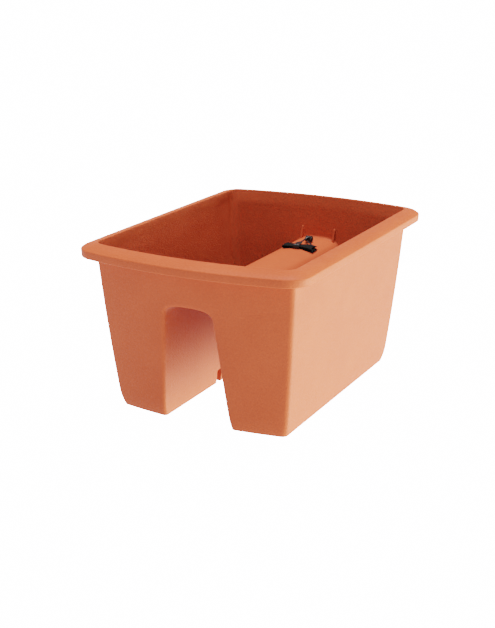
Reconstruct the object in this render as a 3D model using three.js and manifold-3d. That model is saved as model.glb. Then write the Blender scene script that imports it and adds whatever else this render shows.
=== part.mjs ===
// Self-watering saddle planter: one moulded box that straddles a balcony rail,
// with a planting trough on each side of the rail channel. A false floor in each
// trough makes a water reservoir under it, and felt wicks bring the water up.
// Millimetres, +Z up, origin on the ground under the middle of the planter.
// X runs across the rail, Y along it.

import * as THREE from 'three';
import { mergeVertices } from 'three/addons/utils/BufferGeometryUtils.js';
import Module from 'manifold-3d';

const wasm = await Module();
wasm.setup();

// ---- driving dimensions -------------------------------------------------

const LENGTH = 400; // over the rim, along the rail
const WIDTH = 291; // over the rim, across the rail
const HEIGHT = 204;
const WALL = 2.6; // wall thickness of the moulding

const RIM = {
  sideWidth: 18.9, // from the outer band to the inner edge, on the long sides
  endWidth: 20.1,
  drop: 5.8, // how far the top slopes down to the band
  crown: 1.8, // how much the top bulges above a straight slope
  band: 9.7, // height of the outer band
  bandDraft: 0.4, // how much the band leans in at its lower edge
  endBow: 18.7, // how far the ends bow out in the middle
  sideBow: 0.7,
  cornerRadius: 22,
  innerRadius: 9.5,
  hollow: 0.76, // share of the rim's width that is hollow underneath
};

const SHELL = {
  topHalfWidth: 128.3, // outside of the walls, just under the rim
  topHalfLength: 179,
  topEndBow: 15.8,
  topSideBow: 0.6,
  baseHalfWidth: 111.2, // outside of the walls, produced down to the ground
  baseHalfLength: 157.5,
  baseEndBow: 11.1,
  baseSideBow: 0,
  belly: 1.1, // how far the walls swell out halfway up
  cornerRadius: 5.5,
  innerRadius: 10,
  footCurl: 2.7, // how far the lowest stretch of the walls curls in
  footCurlHeight: 25,
};

const CHANNEL = {
  baseHalfWidth: 43.2, // where the rail goes in, at the ground
  topHalfWidth: 30.8, // at the spring of the roof
  springHeight: 132,
  shoulderHeight: 142.2, // where the roof meets its rounded shoulders
  shoulderWidth: 24,
  crownHeight: 145,
  flatHalfWidth: 6, // the middle of the roof, which rests on the rail
  roofWall: 3.6,
};

const STRAP_POCKET = { width: 10.4, height: 18, depth: 8.2, offset: 28.3, cornerRadius: 3 };
const LUG = { offset: 23.5, height: 17, reach: 4.4, thickness: 2.4 };

const INSERT = {
  top: 52, // upper face of the false floor
  plate: 2,
  clearance: 1.6, // to the trough's walls
  cornerRadius: 12,
  innerCornerRadius: 4,
  footRadius: 5,
  footTipRadius: 3.8,
  footInset: 14,
  drainRadius: 2.2,
  drainPitch: 36,
  drainSpread: 24,
  fingerRadius: 9,
};

const WICK = { width: 27, thickness: 1.8, tail: 62, slotGap: 1.1, offset: 68, bend: 4 };

const SPARE = {
  x: 1.3, // where the folded wick lies on the ridge
  y: 109,
  turn: 1 * Math.PI / 180,
  length: 40,
  leftWidth: 14,
  rightWidth: 18,
  waist: 10.4,
  thickness: 3.8,
};
const TIE = { width: 10, thickness: 1.2, tail: 21, curlRadius: 4.3, turn: -7 * Math.PI / 180, shift: -1.5 };

const TOUCH_GAP = 0.3; // left between pieces that rest on each other

const CORNER_STEPS = 5;
const END_STEPS = 12;
const SIDE_STEPS = 2;
const BIG = 500; // longer than the planter, for cutters that run right through

// ---- finishes -----------------------------------------------------------

const terracotta = () => new THREE.MeshStandardMaterial({ color: 0xc4683f, roughness: 0.62, metalness: 0 });
const darkPlastic = () => new THREE.MeshStandardMaterial({ color: 0x33312f, roughness: 0.7, metalness: 0 });
const felt = () => new THREE.MeshStandardMaterial({ color: 0x1d1e1d, roughness: 0.95, metalness: 0 });

// ---- solids -------------------------------------------------------------

/** A closed three.js geometry as a solid that can be joined and cut. */
function solidOf(geometry) {
  const bare = geometry.clone();
  bare.deleteAttribute('normal');
  bare.deleteAttribute('uv');
  const merged = mergeVertices(bare, 1e-4);
  const vertProperties = new Float32Array(merged.attributes.position.array);
  const triVerts = new Uint32Array(merged.index.array);
  return new wasm.Manifold(new wasm.Mesh({ numProp: 3, vertProperties, triVerts }));
}

/** A solid as a three.js geometry. */
function geometryOf(solid) {
  const mesh = solid.getMesh();
  const geometry = new THREE.BufferGeometry();
  geometry.setAttribute('position', new THREE.BufferAttribute(mesh.vertProperties, 3));
  geometry.setIndex(new THREE.BufferAttribute(mesh.triVerts, 1));
  return geometry;
}

const joined = (solids) => solids.reduce((sum, solid) => sum.add(solid));

/** A named piece with its own material. */
function piece(name, solid, material) {
  const flat = geometryOf(solid).toNonIndexed();
  flat.computeVertexNormals();
  const mesh = new THREE.Mesh(flat, material);
  mesh.name = name;
  return mesh;
}

/** Extrudes a shape along its own normal, centred on the plane it is drawn in. */
function slab(shape, depth, curveSegments = 6) {
  const geometry = new THREE.ExtrudeGeometry(shape, { depth, bevelEnabled: false, curveSegments, steps: 1 });
  geometry.translate(0, 0, -depth / 2);
  return geometry;
}

/** A slab drawn in the XZ plane that runs along Y. */
const alongY = (shape, depth, curveSegments) => slab(shape, depth, curveSegments).rotateX(Math.PI / 2);

/** A slab drawn in the YZ plane that runs along X. */
const alongX = (shape, depth, curveSegments) =>
  slab(shape, depth, curveSegments).rotateY(Math.PI / 2).rotateX(Math.PI / 2);

/** The points of a smooth corner from one straight run to another. */
function cornerPoints(from, fromDirection, to, toDirection) {
  const reach = 0.56 * Math.min(Math.abs(to.x - from.x), Math.abs(to.y - from.y));
  return new THREE.CubicBezierCurve(
    from,
    from.clone().addScaledVector(fromDirection, reach),
    to.clone().addScaledVector(toDirection, -reach),
    to,
  ).getPoints(CORNER_STEPS);
}

/**
 * The outline of a level section: an oblong whose four sides bow out a little
 * and whose corners are rounded. Every outline has the same number of points.
 */
function outline({ halfWidth, halfLength, endBow, sideBow, radius }) {
  const endY = (x) => halfLength - endBow * (x / halfWidth) ** 2;
  const sideX = (y) => halfWidth - sideBow * (y / halfLength) ** 2;
  const cornerY = endY(halfWidth);
  const cornerX = sideX(cornerY);
  const sideEnd = new THREE.Vector2(sideX(cornerY - radius), cornerY - radius);
  const endStart = new THREE.Vector2(cornerX - radius, endY(cornerX - radius));
  const up = new THREE.Vector2(-2 * sideBow * sideEnd.y / halfLength ** 2, 1).normalize();
  const back = new THREE.Vector2(-1, 2 * endBow * endStart.x / halfWidth ** 2).normalize();
  const quarter = [];
  for (let i = 0; i < SIDE_STEPS; i++) {
    const y = sideEnd.y * i / SIDE_STEPS;
    quarter.push(new THREE.Vector2(sideX(y), y));
  }
  quarter.push(...cornerPoints(sideEnd, up, endStart, back));
  for (let i = 1; i < END_STEPS / 2; i++) {
    const x = endStart.x * (1 - 2 * i / END_STEPS);
    quarter.push(new THREE.Vector2(x, endY(x)));
  }
  const turned = (points, sx, sy) => points.map((p) => new THREE.Vector2(p.x * sx, p.y * sy));
  const half = [...quarter, new THREE.Vector2(0, halfLength), ...turned([...quarter].reverse(), -1, 1)];
  return [...half, ...turned([...half].reverse().slice(1, -1), 1, -1)];
}

/** A closed solid through level outlines, each given with its height. */
function loft(sections) {
  const count = sections[0].points.length;
  const positions = [];
  const index = [];
  for (const { points, z } of sections) for (const p of points) positions.push(p.x, p.y, z);
  for (let s = 0; s + 1 < sections.length; s++) {
    for (let i = 0; i < count; i++) {
      const a = s * count + i;
      const b = s * count + (i + 1) % count;
      index.push(a, b, b + count, a, b + count, a + count);
    }
  }
  const cap = (s, upward) => {
    const centre = positions.length / 3;
    positions.push(0, 0, sections[s].z);
    for (let i = 0; i < count; i++) {
      const a = s * count + i;
      const b = s * count + (i + 1) % count;
      index.push(centre, upward ? a : b, upward ? b : a);
    }
  };
  cap(0, false);
  cap(sections.length - 1, true);
  const geometry = new THREE.BufferGeometry();
  geometry.setAttribute('position', new THREE.Float32BufferAttribute(positions, 3));
  geometry.setIndex(index);
  return solidOf(geometry);
}

// ---- the moulded shell ---------------------------------------------------

const BAND_TOP = HEIGHT - RIM.drop;
const BAND_BOTTOM = BAND_TOP - RIM.band;
const mix = THREE.MathUtils.lerp;

/** How far the walls swell out at a height. */
const belly = (z) => 4 * SHELL.belly * (z / BAND_BOTTOM) * (1 - z / BAND_BOTTOM);

/** How far the foot of the walls curls in at a height. */
const footCurl = (z) => SHELL.footCurl * Math.max(0, 1 - z / SHELL.footCurlHeight) ** 2.5;

/** Half-size of the walls' outside at a height, moved in by some amount. */
function wallSize(z, inset = 0) {
  const t = z / BAND_BOTTOM;
  const out = belly(z) - footCurl(z) - inset;
  return {
    halfWidth: mix(SHELL.baseHalfWidth, SHELL.topHalfWidth, t) + out,
    halfLength: mix(SHELL.baseHalfLength, SHELL.topHalfLength, t) + out,
    endBow: mix(SHELL.baseEndBow, SHELL.topEndBow, t),
    sideBow: mix(SHELL.baseSideBow, SHELL.topSideBow, t),
  };
}

const wallSection = (z, inset, radius) => ({ z, points: outline({ ...wallSize(z, inset), radius }) });

/** The rim's outline at some share of its width, from 0 at the band to 1 at its inner edge. */
function rimSection(z, share, inset = 0) {
  const halfWidth = WIDTH / 2 - share * RIM.sideWidth - inset;
  return {
    z,
    points: outline({
      halfWidth,
      halfLength: LENGTH / 2 - share * RIM.endWidth - inset,
      endBow: RIM.endBow * (halfWidth / (WIDTH / 2)) ** 2,
      sideBow: RIM.sideBow,
      radius: mix(RIM.cornerRadius, RIM.innerRadius, share),
    }),
  };
}

/** Height of the rim's top at some share of its width. */
const rimTop = (share) =>
  mix(BAND_TOP, HEIGHT, share) + 4 * RIM.crown * share * (1 - share) * (1 - share / 2);

/** The walls as a full block: curled feet, the drafted walls, then the root of the rim. */
function wallBlock() {
  const heights = [0, 1.5, 4, 8, 14, SHELL.footCurlHeight, 60, 100, 145, BAND_BOTTOM];
  const sections = heights.map((z) => wallSection(z, 0, SHELL.cornerRadius));
  sections.push(rimSection(HEIGHT - 1.5, 1, -WALL));
  return loft(sections);
}

/** The rim as a full block, from the lower edge of its band to its inner edge. */
function rimBlock() {
  const sections = [rimSection(BAND_BOTTOM, 0, RIM.bandDraft), rimSection(BAND_TOP - 1.5, 0)];
  for (const share of [0.03, 0.16, 0.36, 0.6, 0.84, 1]) sections.push(rimSection(rimTop(share), share));
  return loft(sections);
}

/** The hollow under the rim, before the wall that stands in it is left standing. */
function rimHollow() {
  return loft([
    rimSection(BAND_BOTTOM - 1, 0, RIM.bandDraft + WALL),
    rimSection(BAND_TOP - WALL, 0, WALL),
    rimSection(rimTop(RIM.hollow / 2) - WALL, RIM.hollow / 2),
    rimSection(rimTop(RIM.hollow) - WALL, RIM.hollow),
  ]);
}

/** The space inside the walls, open at the top. */
function cavityBlock() {
  const heights = [WALL + 2.5, 8, 14, SHELL.footCurlHeight, 60, 100, 145, BAND_BOTTOM];
  return loft([
    wallSection(WALL, WALL + 2, SHELL.innerRadius),
    ...heights.map((z) => wallSection(z, WALL, SHELL.innerRadius)),
    rimSection(HEIGHT, 1),
    rimSection(HEIGHT + 1, 1),
  ]);
}

/**
 * The rail channel's section, grown by a wall thickness for the ridge inside.
 * The sides lean in, and an arched roof joins them with rounded shoulders.
 */
function channelShape(side = 0, roof = 0) {
  const bottom = -10;
  const spring = CHANNEL.springHeight;
  const shoulder = CHANNEL.shoulderHeight + roof * 0.8;
  const crown = CHANNEL.crownHeight + roof;
  const { shoulderWidth, flatHalfWidth } = CHANNEL;
  const half = (z) => channelHalf(z) + side;
  const shape = new THREE.Shape();
  shape.moveTo(half(bottom), bottom);
  shape.lineTo(half(spring), spring);
  shape.bezierCurveTo(half(spring + 5), spring + 5, shoulderWidth + 4, shoulder - 1.4, shoulderWidth, shoulder);
  shape.quadraticCurveTo(shoulderWidth - 8, crown, flatHalfWidth, crown);
  shape.lineTo(-flatHalfWidth, crown);
  shape.quadraticCurveTo(8 - shoulderWidth, crown, -shoulderWidth, shoulder);
  shape.bezierCurveTo(-shoulderWidth - 4, shoulder - 1.4, -half(spring + 5), spring + 5, -half(spring), spring);
  shape.lineTo(-half(bottom), bottom);
  shape.closePath();
  return shape;
}

/** Half the channel's width at a height. */
const channelHalf = (z) =>
  mix(CHANNEL.baseHalfWidth, CHANNEL.topHalfWidth, z / CHANNEL.springHeight);

/** The strap pockets in the feet of the channel's walls, grown by a wall for their housings. */
function strapPockets(grown) {
  const { width, height, depth, offset, cornerRadius } = STRAP_POCKET;
  const half = width / 2 + grown;
  const top = height + grown;
  const face = new THREE.Shape();
  face.moveTo(-half, -5);
  face.lineTo(half, -5);
  face.lineTo(half, top - cornerRadius);
  face.quadraticCurveTo(half, top, half - cornerRadius, top);
  face.lineTo(cornerRadius - half, top);
  face.quadraticCurveTo(-half, top, -half, top - cornerRadius);
  face.closePath();
  const inner = channelHalf(height) - 4;
  const outer = channelHalf(0) + depth + grown;
  const pockets = [];
  for (const side of [-1, 1]) {
    for (const y of [-offset, offset]) {
      const block = alongX(face, outer - inner, 3);
      block.translate(side * (inner + outer) / 2, y, 0);
      pockets.push(solidOf(block));
    }
  }
  return joined(pockets);
}

/** Inside face of the end wall at a place across the planter and a height. */
function endWallInside(x, z) {
  const { halfWidth, halfLength, endBow } = wallSize(z, WALL);
  return halfLength - endBow * (x / halfWidth) ** 2;
}

/** Inside face of the side walls at a height. */
const sideWallInside = (z) => wallSize(z, WALL).halfWidth;

/** The four stacking lugs: thin gussets that stand on the ridge against the end walls. */
function stackingLugs() {
  const foot = CHANNEL.springHeight + 6;
  const tip = CHANNEL.crownHeight + LUG.height;
  const base = CHANNEL.crownHeight + 1;
  const lugs = [];
  for (const end of [-1, 1]) {
    const wallAt = (z) => end * (endWallInside(LUG.offset, z) + 1);
    const shape = new THREE.Shape();
    shape.moveTo(wallAt(foot), foot);
    shape.lineTo(wallAt(base) - end * (LUG.reach + 1), foot);
    shape.lineTo(wallAt(base) - end * (LUG.reach + 1), base);
    shape.lineTo(wallAt(tip) - end * 1.6, tip);
    shape.lineTo(wallAt(tip), tip);
    shape.closePath();
    for (const x of [-LUG.offset, LUG.offset]) {
      lugs.push(solidOf(alongX(shape, LUG.thickness).translate(x, 0, 0)));
    }
  }
  return joined(lugs);
}

function planterBody() {
  const walls = wallBlock();
  const rim = rimBlock().subtract(rimHollow().subtract(walls));
  const ridge = solidOf(alongY(channelShape(WALL, CHANNEL.roofWall), BIG));
  const space = cavityBlock().subtract(ridge).subtract(strapPockets(WALL));
  const channel = solidOf(alongY(channelShape(), BIG));
  return walls.add(rim).subtract(space).add(stackingLugs()).subtract(channel).subtract(strapPockets(0));
}

// ---- the false floors ----------------------------------------------------

/** The trough's level section on the +X side, moved in by some amount. */
function troughShape(z, inset) {
  const inner = channelHalf(z) + WALL + inset;
  const outer = sideWallInside(z) - inset;
  const endY = (x) => endWallInside(x, z) - inset;
  const { cornerRadius: big, innerCornerRadius: small } = INSERT;
  const shape = new THREE.Shape();
  shape.moveTo(inner, small - endY(inner));
  shape.quadraticCurveTo(inner, -endY(inner), inner + small, -endY(inner + small));
  shape.quadraticCurveTo((inner + outer) / 2, -endY((inner + outer) / 2) - 1, outer - big, -endY(outer - big));
  shape.quadraticCurveTo(outer, -endY(outer), outer, big - endY(outer));
  shape.lineTo(outer, endY(outer) - big);
  shape.quadraticCurveTo(outer, endY(outer), outer - big, endY(outer - big));
  shape.quadraticCurveTo((inner + outer) / 2, endY((inner + outer) / 2) + 1, inner + small, endY(inner + small));
  shape.quadraticCurveTo(inner, endY(inner), inner, endY(inner) - small);
  shape.closePath();
  return shape;
}

const FLOOR_UNDER = INSERT.top - INSERT.plate;
const TROUGH_MIDDLE = (channelHalf(INSERT.top) + WALL + sideWallInside(INSERT.top)) / 2;

/** Cuts a round hole in a shape. */
function roundHole(shape, x, y, radius) {
  const hole = new THREE.Path();
  hole.absarc(x, y, radius, 0, 2 * Math.PI, true);
  shape.holes.push(hole);
}

/** The +X false floor: a perforated plate on feet, with a slot for each wick. */
function falseFloor() {
  const plateShape = troughShape(FLOOR_UNDER, INSERT.clearance);
  for (const y of [-WICK.offset, WICK.offset]) {
    const halfX = WICK.width / 2 + WICK.slotGap;
    const halfY = WICK.thickness / 2 + WICK.slotGap;
    const slot = new THREE.Path();
    slot.moveTo(TROUGH_MIDDLE - halfX, y - halfY);
    slot.lineTo(TROUGH_MIDDLE - halfX, y + halfY);
    slot.lineTo(TROUGH_MIDDLE + halfX, y + halfY);
    slot.lineTo(TROUGH_MIDDLE + halfX, y - halfY);
    slot.closePath();
    plateShape.holes.push(slot);
  }
  for (let row = -3; row <= 3; row++) {
    if (row !== 0) {
      const y = row * INSERT.drainPitch;
      for (const side of [-1, 1]) {
        roundHole(plateShape, TROUGH_MIDDLE + side * INSERT.drainSpread, y, INSERT.drainRadius);
      }
    }
  }
  roundHole(plateShape, TROUGH_MIDDLE, 0, INSERT.fingerRadius);
  const plate = slab(plateShape, INSERT.plate, 4).translate(0, 0, INSERT.top - INSERT.plate / 2);

  const feet = [];
  const length = FLOOR_UNDER - WALL - TOUCH_GAP;
  const innerX = channelHalf(0) + WALL + INSERT.footInset;
  const outerX = sideWallInside(0) - INSERT.footInset;
  const endY = endWallInside(outerX, 0) - INSERT.footInset;
  for (const x of [innerX, outerX]) {
    for (const y of [-endY, 0, endY]) {
      const foot = new THREE.CylinderGeometry(INSERT.footRadius, INSERT.footTipRadius, length + 1, 12);
      foot.rotateX(Math.PI / 2);
      foot.translate(x, y, FLOOR_UNDER + 1 - (length + 1) / 2);
      feet.push(solidOf(foot));
    }
  }
  return joined([solidOf(plate), ...feet]);
}

/**
 * A felt wick in the +X trough: it hangs in the reservoir, comes up through its
 * slot, bends over and lies along the false floor towards the middle.
 */
function wick(end) {
  const { thickness: t, bend, tail } = WICK;
  const low = WALL + 2;
  const lie = INSERT.top + TOUCH_GAP;
  const y = (distance) => end * (WICK.offset + t / 2 - distance);
  const shape = new THREE.Shape();
  shape.moveTo(y(0), low);
  shape.lineTo(y(0), lie + t + bend);
  shape.quadraticCurveTo(y(0), lie + t + bend + 3, y(3), lie + t + bend + 3);
  shape.quadraticCurveTo(y(bend + 5), lie + t + bend + 3, y(bend + 12), lie + t);
  shape.lineTo(y(tail), lie + t);
  shape.lineTo(y(tail), lie);
  shape.lineTo(y(bend + 11), lie);
  shape.quadraticCurveTo(y(bend + 4), lie + bend + 2, y(t + 2), lie + bend + 2);
  shape.quadraticCurveTo(y(t), lie + bend + 2, y(t), lie + bend);
  shape.lineTo(y(t), low);
  shape.closePath();
  return solidOf(alongX(shape, WICK.width, 4).translate(TROUGH_MIDDLE, 0, 0));
}

// ---- the spare wick that lies on the ridge ----------------------------------

const RIDGE_TOP = CHANNEL.crownHeight + CHANNEL.roofWall;

/** The folded spare wick: a flat pack, pinched at its middle by its tie. */
function foldedWick() {
  const { length, leftWidth, rightWidth, waist, thickness } = SPARE;
  const neck = TIE.width / 2 + 2.4; // half the length of the waist
  const bend = neck + 4;
  const end = length / 2;
  const shape = new THREE.Shape();
  shape.moveTo(-end, -leftWidth / 2);
  shape.quadraticCurveTo(-bend, -leftWidth / 2, -neck, -waist / 2);
  shape.lineTo(neck, -waist / 2);
  shape.quadraticCurveTo(bend, -rightWidth / 2, end, -rightWidth / 2);
  shape.lineTo(end, rightWidth / 2);
  shape.quadraticCurveTo(bend, rightWidth / 2, neck, waist / 2);
  shape.lineTo(-neck, waist / 2);
  shape.quadraticCurveTo(-bend, leftWidth / 2, -end, leftWidth / 2);
  shape.closePath();
  const pack = slab(shape, thickness, 4);
  pack.rotateZ(SPARE.turn);
  pack.translate(SPARE.x, SPARE.y, RIDGE_TOP + TOUCH_GAP + thickness / 2);
  return solidOf(pack);
}

/** The tie: a narrow felt strip over the waist, with a tail that ends in a curl. */
function wickTie() {
  const { width, thickness: t, tail, curlRadius } = TIE;
  const bottom = RIDGE_TOP + TOUCH_GAP;
  const over = bottom + SPARE.thickness + TOUCH_GAP;
  const near = -SPARE.waist / 2 - 1.2;
  const far = SPARE.waist / 2 + 1.2;
  const strip = new THREE.Shape();
  strip.moveTo(near, bottom);
  strip.lineTo(near, over);
  strip.lineTo(far, over);
  strip.lineTo(far + 3, bottom);
  strip.lineTo(far + tail, bottom);
  strip.lineTo(far + tail, bottom + t);
  strip.lineTo(far + 3.8, bottom + t);
  strip.lineTo(far + 0.8, over + t);
  strip.lineTo(near - t, over + t);
  strip.lineTo(near - t, bottom);
  strip.closePath();
  const curl = new THREE.Shape();
  curl.absarc(far + tail, bottom + curlRadius, curlRadius, 0, 2 * Math.PI, false);
  const bore = new THREE.Path();
  bore.absarc(far + tail, bottom + curlRadius, curlRadius - t, 0, 2 * Math.PI, true);
  curl.holes.push(bore);
  const parts = [strip, curl].map((shape) => {
    const run = alongX(shape, width, 6);
    run.rotateZ(TIE.turn);
    run.translate(SPARE.x + TIE.shift, SPARE.y, 0);
    return solidOf(run);
  });
  return joined(parts);
}

// ---- assembly ---------------------------------------------------------------

/** The same solid on the other side of the rail. */
const mirrored = (solid) => solid.mirror([1, 0, 0]);

const group = new THREE.Group();
group.add(piece('planter_body', planterBody(), terracotta()));

const SIDES = [['right', (solid) => solid], ['left', mirrored]];
const ENDS = [['front', -1], ['rear', 1]];
for (const [side, placed] of SIDES) {
  group.add(piece(`reservoir_floor_${side}`, placed(falseFloor()), darkPlastic()));
  for (const [end, sign] of ENDS) {
    group.add(piece(`wick_${side}_${end}`, placed(wick(sign)), felt()));
  }
}
group.add(piece('spare_wick', foldedWick(), felt()));
group.add(piece('spare_wick_tie', wickTie(), felt()));

export default group;
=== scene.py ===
"""A self-watering saddle planter that straddles a balcony rail.

One terracotta moulding holds two troughs with a rail channel between them. Each
trough has a lift-out false floor over its water reservoir, with felt wicks that
bring the water up. A folded spare wick with its tie lies on the ridge.
"""

import logging
import math
from dataclasses import dataclass
from enum import Enum
from typing import Callable, Iterable, Sequence

import bmesh
import bpy
import numpy as np
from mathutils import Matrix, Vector


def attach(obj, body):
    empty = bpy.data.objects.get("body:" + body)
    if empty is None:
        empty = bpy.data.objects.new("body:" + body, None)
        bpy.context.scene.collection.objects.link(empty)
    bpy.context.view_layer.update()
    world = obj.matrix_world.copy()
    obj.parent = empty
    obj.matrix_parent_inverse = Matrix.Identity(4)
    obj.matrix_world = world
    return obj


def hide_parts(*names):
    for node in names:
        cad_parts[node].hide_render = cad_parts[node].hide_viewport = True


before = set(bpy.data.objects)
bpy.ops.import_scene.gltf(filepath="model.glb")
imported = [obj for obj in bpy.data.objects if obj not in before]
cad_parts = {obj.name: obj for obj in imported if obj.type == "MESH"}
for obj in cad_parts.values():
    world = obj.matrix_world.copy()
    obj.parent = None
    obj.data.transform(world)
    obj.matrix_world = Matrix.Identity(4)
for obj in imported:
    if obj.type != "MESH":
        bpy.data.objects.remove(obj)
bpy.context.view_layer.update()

log = logging.getLogger("planter")

MM = 0.001
WELD = 0.001 * MM  # points closer than this become one
Point = tuple[float, float, float]
Flat = tuple[float, float]
Socket = bpy.types.NodeSocket


class Side(Enum):
    """The two sides of the rail."""

    RIGHT = 1
    LEFT = -1


class End(Enum):
    """The two ends of the planter."""

    FRONT = -1
    REAR = 1


# ---- small helpers ----------------------------------------------------------


def mix(a: float, b: float, share: float) -> float:
    """The value that lies at a share of the way from a to b."""
    return a + (b - a) * share


def smooth(t: float) -> float:
    """A soft step from 0 to 1."""
    t = min(1.0, max(0.0, t))
    return t * t * (3 - 2 * t)


def turns(*degrees: float) -> list[Flat]:
    """The cosine and the sine of some angles."""
    return [(math.cos(math.radians(a)), math.sin(math.radians(a))) for a in degrees]


def bezier(points: Sequence[Flat], steps: int) -> list[Flat]:
    """Points along a flat Bezier curve.

    Args:
        points: The control points.
        steps: How many steps to take.

    Returns:
        The points, both ends included.
    """
    order = len(points) - 1
    found = []
    for i in range(steps + 1):
        t = i / steps
        weights = [math.comb(order, k) * t**k * (1 - t) ** (order - k) for k in range(order + 1)]
        found.append(tuple(sum(w * p[axis] for w, p in zip(weights, points)) for axis in range(2)))
    return found


def spline(points: Sequence[Sequence[float]], steps: int) -> list[np.ndarray]:
    """A smooth curve through points.

    Args:
        points: The points it runs through, flat or in space.
        steps: How many steps to take between two points.

    Returns:
        The curve's points, both ends included.
    """
    knots = [np.array(p, float) for p in points]
    knots = [2 * knots[0] - knots[1], *knots, 2 * knots[-1] - knots[-2]]
    found = []
    for a, b, c, d in zip(knots, knots[1:], knots[2:], knots[3:]):
        for i in range(steps):
            t = i / steps
            square, cube = 2 * a - 5 * b + 4 * c - d, 3 * b - a - 3 * c + d
            found.append(0.5 * (2 * b + (c - a) * t + square * t**2 + cube * t**3))
    found.append(knots[-2])
    return found


class Skin:
    """Gathers faces, given by their corners, and welds them into one mesh."""

    def __init__(self) -> None:
        """Starts with no faces."""
        self.points: list[Point] = []
        self.faces: list[tuple[tuple[int, ...], bool]] = []

    def face(self, corners: Iterable[Sequence[float]], flat: bool = False) -> None:
        """Adds one face.

        Args:
            corners: Its corners, in millimetres.
            flat: Whether it is shaded flat.
        """
        start = len(self.points)
        self.points.extend(tuple(float(v) for v in p) for p in corners)
        self.faces.append((tuple(range(start, len(self.points))), flat))

    def grid(self, rows: Sequence[Sequence[Sequence[float]]], closed: bool = False) -> None:
        """Adds the quads between rows of points.

        Args:
            rows: Rows with the same number of points.
            closed: Whether each row joins up with its own start.
        """
        for low, high in zip(rows, rows[1:]):
            count = len(low)
            for i in range(count if closed else count - 1):
                k = (i + 1) % count
                self.face((low[i], low[k], high[k], high[i]))

    def tube(self, rings: Sequence[Sequence[Sequence[float]]]) -> None:
        """Adds a closed body with a flat face at each end.

        Args:
            rings: Its rings of points, from one end to the other.
        """
        self.grid(rings, closed=True)
        self.face(reversed(rings[0]), flat=True)
        self.face(rings[-1], flat=True)

    def mirrored(self, axis: int) -> None:
        """Adds the mirror image of everything so far.

        Args:
            axis: The axis whose sign changes: 0 is across the planter and 1 is along it.
        """
        count = len(self.points)
        for p in list(self.points):
            self.points.append(tuple(-v if k == axis else v for k, v in enumerate(p)))
        self.faces += [(tuple(count + i for i in reversed(ids)), flat) for ids, flat in self.faces]

    def mesh(self, name: str, sharp: float = 40.0) -> bpy.types.Mesh:
        """The welded mesh in metres.

        Args:
            name: The mesh's name.
            sharp: Edges sharper than this, in degrees, stay crisp.

        Returns:
            The mesh, with its faces turned outward.
        """
        bm = bmesh.new()
        corners = [bm.verts.new(Vector(p) * MM) for p in self.points]
        for ids, flat in self.faces:
            face = bm.faces.new([corners[i] for i in ids])
            face.smooth = not flat
        bmesh.ops.remove_doubles(bm, verts=bm.verts, dist=WELD)
        bmesh.ops.dissolve_degenerate(bm, edges=bm.edges, dist=WELD * 0.1)
        bmesh.ops.recalc_face_normals(bm, faces=bm.faces)
        mesh = bpy.data.meshes.new(name)
        bm.to_mesh(mesh)
        bm.free()
        mesh.set_sharp_from_angle(angle=math.radians(sharp))
        return mesh


def placed(name: str, mesh: bpy.types.Mesh, material: bpy.types.Material) -> bpy.types.Object:
    """Puts a mesh into the scene.

    Args:
        name: The piece's name.
        mesh: Its mesh.
        material: Its only material.

    Returns:
        The piece.
    """
    mesh.materials.clear()
    mesh.materials.append(material)
    obj = bpy.data.objects.new(name, mesh)
    bpy.context.scene.collection.objects.link(obj)
    return obj


def combined(obj: bpy.types.Object, other: bpy.types.Mesh, operation: str) -> None:
    """Joins a closed mesh to an object's, or cuts it out, for good.

    Args:
        obj: The object that changes.
        other: The mesh that is joined or cut out.
        operation: UNION or DIFFERENCE.
    """
    tool = bpy.data.objects.new("tool", other)
    bpy.context.scene.collection.objects.link(tool)
    modifier = obj.modifiers.new("cut", "BOOLEAN")
    modifier.operation = operation
    modifier.solver = "EXACT"
    modifier.object = tool
    graph = bpy.context.evaluated_depsgraph_get()
    made = bpy.data.meshes.new_from_object(obj.evaluated_get(graph))
    obj.modifiers.remove(modifier)
    obj.data = made
    bpy.data.objects.remove(tool)


# ---- finishes ---------------------------------------------------------------


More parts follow.
